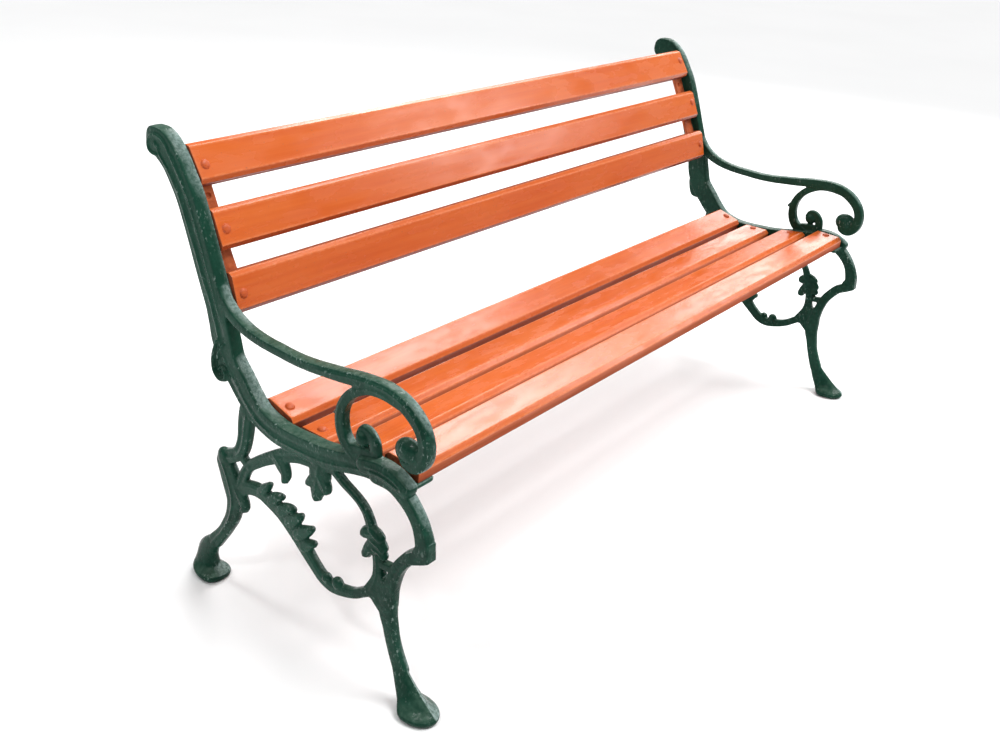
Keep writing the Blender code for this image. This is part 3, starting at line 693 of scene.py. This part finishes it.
def enamel():
    """Thick bottle-green gloss enamel on rough cast iron, with slat paint strayed onto the back lugs."""
    made, tree, shader = nodes_of("green_enamel")
    place = place_of(tree)
    broad = noise(tree, place, 7.0, 3.0)
    lumps = noise(tree, place, 95.0, 2.0)
    skin = noise(tree, place, 420.0, 2.0)
    edges = add(tree, "ShaderNodeNewGeometry").outputs["Pointiness"]
    colour = blend_colours(tree, spread(tree, broad, 0.35, 0.68, 0.0, 1.0), ENAMEL_DARK, ENAMEL_LIGHT)
    colour = blend_colours(tree, spread(tree, lumps, 0.50, 0.75, 0.0, 0.40), colour, ENAMEL_MOTTLE)

    # painted highlights on edges, partly worn-thin enamel, and painted shade in hollows
    worn_and_highlit = spread(tree, edges, 0.525, 0.60, 0.0, 0.7)
    worn_and_highlit = maths(tree, "MULTIPLY", worn_and_highlit, spread(tree, lumps, 0.35, 0.6, 0.15, 1.0))
    colour = blend_colours(tree, worn_and_highlit, colour, ENAMEL_WORN_HIGHLIT)
    hollow_shade = spread(tree, edges, 0.38, 0.485, 0.85, 0.0)
    colour = blend_colours(tree, hollow_shade, colour, ENAMEL_HOLLOW_SHADE)

    # painted skylight on upward faces, and a painted highlight where faces turn towards one light
    upward = add(tree, "ShaderNodeSeparateXYZ", [(facing(tree), "Vector")]).outputs["Z"]
    skylit = spread(tree, upward, 0.45, 0.92, 0.0, 0.75)
    skylit = maths(tree, "MULTIPLY", skylit, spread(tree, lumps, 0.35, 0.62, 0.35, 1.0))
    colour = blend_colours(tree, skylit, colour, ENAMEL_SKYLIT)
    highlight_facing = add(tree, "ShaderNodeVectorMath", [(facing(tree), 0)], operation="DOT_PRODUCT")
    highlight_facing.inputs[1].default_value = HIGHLIGHT_WAY
    painted_highlight = spread(tree, highlight_facing.outputs["Value"], 0.84, 0.97, 0.0, 0.9)
    cloudy = spread(tree, noise(tree, place, 170.0, 4.0, 0.7), 0.38, 0.62, 0.25, 1.0)
    colour = blend_colours(tree, maths(tree, "MULTIPLY", painted_highlight, cloudy), colour, ENAMEL_PAINTED_HIGHLIGHT)

    # painted glints: pale chalky flecks, mostly on edges and in patches
    glint_noise = noise(tree, place_of(tree, (1.0, 1.0, 0.5)), 230.0, 3.0, 0.65)
    glints = spread(tree, glint_noise, 0.57, 0.67, 0.0, 0.65)
    glints = maths(tree, "MULTIPLY", glints, spread(tree, edges, 0.495, 0.53, 0.10, 1.0))
    patches = spread(tree, noise(tree, place, 24.0, 2.0), 0.46, 0.62, 0.0, 1.0)
    colour = blend_colours(tree, maths(tree, "MULTIPLY", glints, patches), colour, ENAMEL_GLINT)

    # slat paint on the back lugs, but not down in the spare hole
    split = add(tree, "ShaderNodeSeparateXYZ", [(place, "Vector")])
    inwards = maths(tree, "ABSOLUTE", split.outputs["X"])
    ragged = maths(tree, "ADD", inwards, maths(tree, "MULTIPLY", lumps, 0.003))
    strayed = spread(tree, ragged, *STRAY_REACH, 1.0, 0.0)
    above = spread(tree, split.outputs["Z"], *STRAY_FLOOR, 0.0, 1.0)
    strayed = maths(tree, "MULTIPLY", strayed, above)
    strayed = maths(tree, "MULTIPLY", strayed, spread(tree, edges, 0.36, 0.44, 0.0, 1.0))
    brushed = spread(tree, noise(tree, place, 60.0, 4.0, 0.6), 0.35, 0.7, 0.0, 1.0)
    colour = blend_colours(tree, strayed, colour, blend_colours(tree, brushed, STRAY_DARK, STRAY_LIGHT))

    tree.links.new(colour, shader.inputs["Base Color"])
    rough = spread(tree, noise(tree, place, 38.0, 3.0, 0.6), 0.35, 0.7, 0.12, 0.38)
    tree.links.new(rough, shader.inputs["Roughness"])
    shader.inputs["Specular IOR Level"].default_value = 0.10
    wrinkles = noise(tree, place_of(tree, (1.0, 1.0, 0.45)), 130.0, 3.0, 0.6)
    normal = bumps(tree, [(lumps, 0.50, 0.0018), (wrinkles, 0.40, 0.0010), (skin, 0.30, 0.0004)])
    tree.links.new(normal, shader.inputs["Normal"])
    return made


def slat_paint(name, seed):
    """Terracotta paint brushed along the slat, thin and pale along its edges, with painted shade below them
    and underneath.
    """
    made, tree, shader = nodes_of(name)
    place = place_of(tree)
    streaks = noise(tree, place_of(tree, (1.0, 26.0, 26.0)), 4.0 + seed * 0.37, 4.0, 0.55)
    fine = noise(tree, place_of(tree, (1.0, 60.0, 60.0)), 9.0 + seed, 3.0, 0.6)
    broad = noise(tree, place, 3.1 + seed * 0.21, 2.0)
    spotty = noise(tree, place, 130.0, 3.0, 0.6)
    colour = blend_colours(tree, spread(tree, streaks, 0.34, 0.68, 0.0, 1.0), SLAT_DARK, SLAT_LIGHT)
    colour = blend_colours(tree, spread(tree, broad, 0.42, 0.70, 0.0, 0.5), colour, SLAT_PATCH)
    pale = add(tree, "ShaderNodeAttribute", attribute_name="edge").outputs["Fac"]
    pale = maths(tree, "MULTIPLY", pale, spread(tree, spotty, 0.40, 0.62, 0.15, 0.60))
    colour = blend_colours(tree, pale, colour, SLAT_THIN)
    # painted shade: faces that turn downwards are darkened
    upward = add(tree, "ShaderNodeSeparateXYZ", [(facing(tree), "Vector")]).outputs["Z"]
    underside_shade = spread(tree, upward, -0.42, -0.10, 0.92, 0.0)
    colour = blend_colours(tree, underside_shade, colour, SLAT_UNDERSIDE_SHADE)
    # painted shade on the sides below the chamfers and on the ends
    gap_shade = add(tree, "ShaderNodeAttribute", attribute_name="below").outputs["Fac"]
    gap_shade = maths(tree, "MULTIPLY", gap_shade, spread(tree, streaks, 0.30, 0.65, 0.55, 0.85))
    colour = blend_colours(tree, gap_shade, colour, SLAT_GAP_SHADE)
    specks = spread(tree, noise(tree, place, 240.0, 1.0), 0.735, 0.76, 0.0, 0.7)
    colour = blend_colours(tree, specks, colour, SLAT_SPECK)
    tree.links.new(colour, shader.inputs["Base Color"])

    smudges = noise(tree, place_of(tree, (1.0, 3.0, 3.0)), 11.0 + seed, 3.0, 0.55)
    rough = maths(tree, "ADD", spread(tree, smudges, 0.36, 0.66, 0.17, 0.34), gap_shade)
    tree.links.new(rough, shader.inputs["Roughness"])
    shader.inputs["Specular IOR Level"].default_value = 0.50
    normal = bumps(tree, [
        (broad, 0.25, 0.004), (streaks, 0.16, 0.0010), (fine, 0.14, 0.0004), (spotty, 0.06, 0.0004)])
    tree.links.new(normal, shader.inputs["Normal"])
    return made


def bolt_paint():
    """The same paint, pooled on a steel bolt head and rubbed at its crown."""
    made, tree, shader = nodes_of("bolt_paint")
    lumps = noise(tree, place_of(tree), 260.0, 3.0, 0.6)
    edges = add(tree, "ShaderNodeNewGeometry").outputs["Pointiness"]
    colour = blend_colours(tree, spread(tree, lumps, 0.35, 0.65, 0.0, 1.0), BOLT_DARK, BOLT_LIGHT)
    colour = blend_colours(tree, spread(tree, edges, 0.53, 0.66, 0.0, 0.25), colour, BOLT_RUBBED)
    tree.links.new(colour, shader.inputs["Base Color"])
    tree.links.new(spread(tree, lumps, 0.35, 0.65, 0.34, 0.50), shader.inputs["Roughness"])
    shader.inputs["Specular IOR Level"].default_value = 0.40
    tree.links.new(bumps(tree, [(lumps, 0.22, 0.0005)]), shader.inputs["Normal"])
    return made


def zinc():
    """Dull zinc plating with white bloom."""
    made, tree, shader = nodes_of("dull_zinc_plating")
    place = place_of(tree)
    bloom = noise(tree, place, 190.0, 4.0, 0.65)
    fine = noise(tree, place, 900.0, 2.0)
    colour = blend_colours(tree, spread(tree, bloom, 0.36, 0.66, 0.0, 1.0), ZINC_DARK, ZINC_LIGHT)
    tree.links.new(colour, shader.inputs["Base Color"])
    shader.inputs["Metallic"].default_value = 1.0
    tree.links.new(spread(tree, bloom, 0.36, 0.66, 0.34, 0.58), shader.inputs["Roughness"])
    tree.links.new(bumps(tree, [(bloom, 0.2, 0.0003), (fine, 0.15, 0.0001)]), shader.inputs["Normal"])
    return made


def floor_paint():
    """Matt white with a faint unevenness."""
    made, tree, shader = nodes_of("floor")
    shade = noise(tree, place_of(tree), 1.2, 2.0)
    colour = blend_colours(tree, spread(tree, shade, 0.3, 0.7, 0.0, 1.0), FLOOR_DARK, FLOOR_LIGHT)
    tree.links.new(colour, shader.inputs["Base Color"])
    shader.inputs["Roughness"].default_value = 0.9
    shader.inputs["Specular IOR Level"].default_value = 0.1
    return made


# ---------------------------------------------------------------- slats and bolts

def filleted(corners, radii, steps):
    """An outline with rounded corners, and for each of its points how much it is an edge."""
    outline, weights = [], []
    count = len(corners)
    for k in range(count):
        here = np.array(corners[k], float)
        before, after = np.array(corners[k - 1], float), np.array(corners[(k + 1) % count], float)
        a, b = before - here, after - here
        la, lb = np.linalg.norm(a), np.linalg.norm(b)
        cut = min(radii[k], 0.42 * la, 0.42 * lb)
        rest = min(2.5, 0.3 * la, 0.3 * lb)
        a, b = a / max(la, 1e-9), b / max(lb, 1e-9)
        start, end = here + a * cut, here + b * cut
        outline.append(start + a * rest)
        weights.append(0.0)
        for step in range(steps + 1):
            t = step / steps
            outline.append((1 - t) ** 2 * start + 2 * t * (1 - t) * here + t * t * end)
            weights.append(1.0)
        outline.append(end + b * rest)
        weights.append(0.0)
    return np.array(outline), weights


def slat_mesh(name, forward, up, slope, seed):
    """A slat with a slightly uneven face, chamfered along its sitting side, and eased at its ends.

    Its attributes say where its paint is thin (edge) and where painted shade darkens it (below)."""
    rng = random.Random(seed)
    half, end = SLAT_WIDTH / 2, SLAT_HALF_LENGTH
    rings, edge = [], []

    def section(x, top, pull, weight):
        """One cross-section: top is how far its face has dropped and pull how far its sides come in."""
        cut = SLAT_CHAMFER - top
        side, low = half - pull, -SLAT_THICKNESS + pull * 0.6
        lip = -top - cut
        corners = [
            (-side, low), (side, low), (side, lip), (side - cut, -top), (-side + cut, -top), (-side, lip)]
        outline, weights = filleted(corners, EDGE_RADII, 3)
        rings.append(np.column_stack([np.full(len(outline), x), outline]))
        edge.extend(max(w, weight) for w in weights)

    even = -end + SLAT_CHAMFER + END_RUN
    stations = (
        (-end, END_EASE, 0.9, 1.0), (-end + 0.3, END_EASE - 0.7, 0.3, 1.0), (-end + 0.9, 0.4, 0.08, 0.8),
        (-end + END_EASE, 0.08, 0.0, 0.3), (-end + 6.0, 0.0, 0.0, 0.0), (even, 0.0, 0.0, 0.0))
    for row in stations:
        section(*row)
    for k in range(1, SLAT_STATIONS):
        x = even - 2 * even * k / SLAT_STATIONS
        section(x, rng.uniform(-0.10, 0.22), rng.uniform(-0.08, 0.12), 0.0)
    for x, *rest in stations[::-1]:
        section(-x, *rest)

    verts, faces = loft(rings)
    angle = math.radians(slope)
    along, out = (math.cos(angle), math.sin(angle)), (-math.sin(angle), math.cos(angle))
    f = forward + verts[:, 1] * along[0] + verts[:, 2] * out[0]
    z = up + verts[:, 1] * along[1] + verts[:, 2] * out[1]
    placed = np.column_stack([verts[:, 0], FORWARD_MIDDLE - f, z]) * MM
    mesh = mesh_from(name, placed, faces)
    on_side = np.abs(verts[:, 1]) >= half - NEAR_SIDE
    on_end = np.abs(verts[:, 0]) > end - NEAR_END
    # painted shade: the sides below the chamfers and the ends are marked for darkening
    below = np.where(on_side, np.clip((-verts[:, 2] - SLAT_CHAMFER) / SIDE_SHADE_DEPTH, 0.0, 1.0), 0.0)
    below[on_end] = 1.0
    for label, values in (("edge", edge), ("below", below)):
        attribute = mesh.attributes.new(label, "FLOAT", "POINT")
        attribute.data.foreach_set("value", np.array(values, np.float32))
    mesh.shade_smooth()
    obj = show(name, mesh)
    flatten = obj.modifiers.new("flatten", "WEIGHTED_NORMAL")
    flatten.keep_sharp = True
    return obj


def bolt_place(row, side):
    """The bolt's axis frame, on the sitting face of its slat, at one end of it."""
    _, forward, up, slope, left_shift, right_shift = row
    angle = math.radians(slope)
    along = Vector((math.cos(angle), math.sin(angle)))
    out = Vector((-along.y, along.x))
    middle = Vector((forward, up)) + along * (right_shift if side > 0 else left_shift)
    x = side * (SLAT_HALF_LENGTH - BOLT_INSET)
    return Matrix((
        (1.0, 0.0, 0.0, x * MM),
        (0.0, -along.x, -out.x, (FORWARD_MIDDLE - middle.x) * MM),
        (0.0, along.y, out.y, middle.y * MM),
        (0.0, 0.0, 0.0, 1.0)))


def bolt_mesh(name, place, seed, sides=40):
    """A domed bolt head with paint gathered round it, and its threaded tail past the nut."""
    rng = random.Random(seed)
    tail = -(SLAT_THICKNESS + LUG_THICKNESS + WASHER_THICKNESS
             + NUT_HEIGHT + FASTENER_GAPS + BOLT_OVERRUN)
    profile = [(0.01, tail), (2.3, tail), (SHANK_RADIUS, tail + 0.6)]
    for k in range(THREAD_TURNS):
        turned = tail + k * THREAD_PITCH
        profile += [(THREAD_CREST, turned + 0.8), (THREAD_ROOT, turned + 1.15)]
    profile += [(SHANK_RADIUS, tail + 10.0), (SHANK_RADIUS, COLLAR[0][1]), *COLLAR]
    for k in range(1, 10):
        a = math.pi / 2 * k / 10
        profile.append((DOME_RADIUS * math.cos(a) ** 0.9, DOME_BASE + DOME_RISE * math.sin(a)))
    profile.append((0.01, DOME_BASE + DOME_RISE + 0.02))
    # the painted head is a little out of round, and leans a little
    turn = np.linspace(0, 2 * math.pi, sides, endpoint=False)
    lean = rng.uniform(-0.25, 0.25), rng.uniform(-0.25, 0.25)
    rings = []
    for radius, height in profile:
        wobble = 1.0 + 0.02 * np.sin(turn * 3 + seed) if height > 0.3 else 1.0
        tilt = max(0.0, height) * 0.12
        rings.append(np.column_stack([
            radius * np.cos(turn) * wobble + lean[0] * tilt, radius * np.sin(turn) * wobble + lean[1] * tilt,
            np.full(sides, height)]))
    verts, faces = loft(rings)
    placed = [tuple(place @ Vector(v * MM)) for v in verts]
    mesh = mesh_from(name, placed, faces)
    mesh.shade_smooth()
    mesh.set_sharp_from_angle(angle=math.radians(50))
    return show(name, mesh)


# ---------------------------------------------------------------- scene

def camera_matrix():
    """The camera's place and directions."""
    cy, sy = math.cos(CAMERA_YAW), math.sin(CAMERA_YAW)
    cp, sp = math.cos(CAMERA_PITCH), math.sin(CAMERA_PITCH)
    ahead = Vector((cy * cp, sy * cp, -sp))
    right = Vector((sy, -cy, 0.0))
    up = right.cross(ahead)
    c, s = math.cos(CAMERA_ROLL), math.sin(CAMERA_ROLL)
    x_axis, y_axis = c * right + s * up, -s * right + c * up
    made = Matrix((x_axis, y_axis, -ahead)).transposed().to_4x4()
    made.translation = Vector(CAMERA_PLACE)
    return made


def add_camera():
    """The camera, at the photograph's viewing angle."""
    data = bpy.data.cameras.new("camera")
    data.sensor_width = 36.0
    data.lens = CAMERA_LENS
    data.shift_x, data.shift_y = CAMERA_SHIFT
    data.clip_end = 100.0
    obj = bpy.data.objects.new("camera", data)
    obj.matrix_world = camera_matrix()
    bpy.context.scene.collection.objects.link(obj)
    bpy.context.scene.camera = obj


def area_light(name, place, target, size, power):
    """A soft window of light that points at its target."""
    data = bpy.data.lights.new(name, "AREA")
    data.shape = "RECTANGLE"
    data.size, data.size_y = size
    data.energy = power
    obj = bpy.data.objects.new(name, data)
    way = Vector(target) - Vector(place)
    obj.matrix_world = Matrix.Translation(place) @ way.to_track_quat("-Z", "Y").to_matrix().to_4x4()
    bpy.context.scene.collection.objects.link(obj)


def add_lights():
    """A pale sky, a broad light from above, and windows that make the glare on the slats and the iron."""
    world = bpy.data.worlds.new("studio")
    world.use_nodes = True
    tree = world.node_tree
    coords = add(tree, "ShaderNodeTexCoord")
    height = add(tree, "ShaderNodeSeparateXYZ", [(coords.outputs["Generated"], "Vector")]).outputs["Z"]
    sky = blend_colours(tree, spread(tree, height, 0.0, 0.9, 0.0, 1.0), SKY_LOW, SKY_HIGH)
    back = tree.nodes["Background"]
    tree.links.new(sky, back.inputs["Color"])
    back.inputs["Strength"].default_value = SKY_STRENGTH
    bpy.context.scene.world = world

    sun = bpy.data.lights.new("broad_light", "SUN")
    sun.energy = SUN_STRENGTH
    sun.angle = math.radians(SUN_WIDTH)
    obj = bpy.data.objects.new("broad_light", sun)
    obj.matrix_world = Vector(SUN_WAY).to_track_quat("Z", "Y").to_matrix().to_4x4()
    bpy.context.scene.collection.objects.link(obj)
    for row in AREA_LIGHTS:
        area_light(*row)


def add_floor():
    """The plain floor that the bench stands on."""
    far = FLOOR_HALF_SIDE
    corners = [(-far, -far, 0.0), (far, -far, 0.0), (far, far, 0.0), (-far, far, 0.0)]
    mesh = mesh_from("floor", corners, [(0, 1, 2, 3)])
    mesh.materials.append(floor_paint())
    show("floor", mesh)


def dress(obj, material, node):
    """Gives a piece its material and puts it in the place of its CAD node."""
    obj.data.materials.clear()
    obj.data.materials.append(material)
    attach(obj, "root")
    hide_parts(node)


def add_castings():
    """The left end and its mirror image."""
    green = enamel()
    left = casting_mesh()
    left.name = left.data.name = "casting_left"
    mirrored = left.data.copy()
    mirrored.name = "casting_right"
    mirrored.transform(Matrix.Diagonal((-1.0, 1.0, 1.0, 1.0)))
    mirrored.flip_normals()
    dress(left, green, "end_casting_left")
    dress(show("casting_right", mirrored), green, "end_casting_right")


def add_slats():
    """The seven slats, each with brush marks of its own."""
    for number, row in enumerate(BACK_SLATS + SEAT_SLATS):
        obj = slat_mesh("painted_" + row[0], *row[1:4], number + 11)
        dress(obj, slat_paint(f"slat_paint_{number}", number), row[0])


def add_fasteners():
    """Painted bolts, and zinc on the CAD washers and nuts."""
    paint = bolt_paint()
    plating = zinc()
    for number, row in enumerate(BACK_SLATS + SEAT_SLATS):
        for side, end in ((-1, "left"), (1, "right")):
            name = f"{row[0]}_{end}"
            obj = bolt_mesh(f"painted_bolt_{name}", bolt_place(row, side), number * 2 + (side > 0))
            dress(obj, paint, f"bolt_{name}")
            for node in (f"washer_{name}", f"nut_{name}"):
                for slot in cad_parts[node].material_slots:
                    slot.material = plating


def main():
    """Sets up the studio, then every piece of the bench."""
    bpy.context.scene.view_settings.view_transform = "Standard"
    add_camera()
    add_lights()
    add_floor()
    add_castings()
    add_slats()
    add_fasteners()


main()
